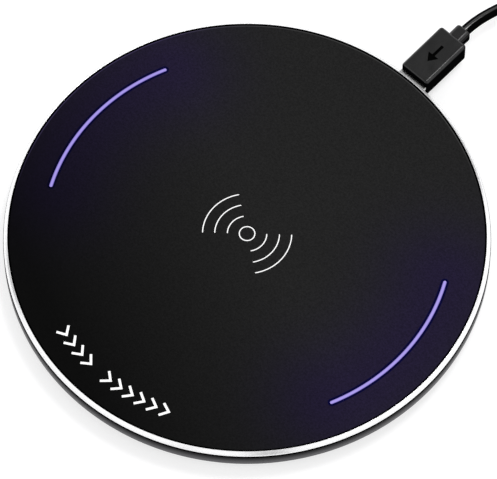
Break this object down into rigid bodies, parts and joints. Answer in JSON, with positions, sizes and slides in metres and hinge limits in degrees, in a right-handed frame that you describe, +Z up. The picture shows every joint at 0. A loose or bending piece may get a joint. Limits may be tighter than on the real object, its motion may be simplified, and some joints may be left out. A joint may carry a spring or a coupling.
{
  "type": "wireless charging pad",
  "caption": "Slim round wireless charging pad with a metal rim, two lit arcs and a detachable USB lead coiled beside it.",
  "frame": {"origin": "centre of the pad's footprint on the table it stands on", "axes": "+Z up out of the charging face, +Y out of the power port, +X to the right light arc, whose middle is 2.3 degrees round from it"},
  "size_m": [0.104, 0.1629, 0.0106],
  "materials": {
    "panel_black": "fine sand-blast matte, near black, white print",
    "light_violet": "milky light guide, lit blue violet",
    "adhesive": "double-sided tape",
    "rim_metal": "anodised dark grey wall with a bright diamond-cut chamfer",
    "shell_black": "fine moulded texture",
    "foot_rubber": "soft silicone",
    "screw_steel": "zinc plated",
    "ferrite": "sintered ferrite",
    "coil_copper": "enamelled copper strands",
    "sensor_glass": "glass bead thermistor",
    "board_green": "solder mask",
    "chip_black": "moulded package",
    "capacitor_tan": "sintered body",
    "can_steel": "stamped, tin plated",
    "lamp_yellow": "silicone over the die",
    "insulator_black": "moulded nylon",
    "insulator_white": "moulded nylon",
    "contact_gold": "gold flash",
    "plug_nickel": "nickel plated",
    "plug_black": "soft PVC overmould",
    "cord_black": "smooth PVC jacket",
    "tie_black": "hook-and-loop strap"
  },
  "bodies": {
    "pad": {"top_panel": "panel_black", "right_light_guide": "light_violet", "left_light_guide": "light_violet", "panel_adhesive": "adhesive", "trim_ring": "rim_metal", "bottom_shell": "shell_black", "foot_ring": "foot_rubber", "case_screws": "screw_steel", "ferrite_tape": "adhesive", "ferrite_sheet": "ferrite", "coil_tape": "adhesive", "charging_coil": "coil_copper", "coil_leads": "coil_copper", "thermistor": "sensor_glass", "circuit_board": "board_green", "board_screws": "screw_steel", "controller_chip": "chip_black", "power_transistors": "chip_black", "resonance_capacitors": "capacitor_tan", "power_inductor": "ferrite", "input_capacitors": "capacitor_tan", "clock_crystal": "can_steel", "small_passives": "chip_black", "right_lamps": "lamp_yellow", "left_lamps": "lamp_yellow", "port_shell": "can_steel", "port_tongue": "insulator_black", "port_contacts": "contact_gold"},
    "lead": {"small_plug_shell": "plug_nickel", "small_plug_insulator": "insulator_black", "small_plug_contacts": "contact_gold", "small_plug_grip": "plug_black", "small_plug_neck": "plug_black", "cord": "cord_black", "cord_coil": "cord_black", "cord_tail": "cord_black", "cord_ties": "tie_black", "large_plug_relief": "plug_black", "large_plug_grip": "plug_black", "large_plug_shell": "plug_nickel", "large_plug_tongue": "insulator_white", "large_plug_contacts": "contact_gold"}
  },
  "joints": [
    {"name": "plug_pull", "type": "slide", "parent": "pad", "child": "lead", "axis": [0, 1, 0], "range_m": [0, 0.012]}
  ]
}
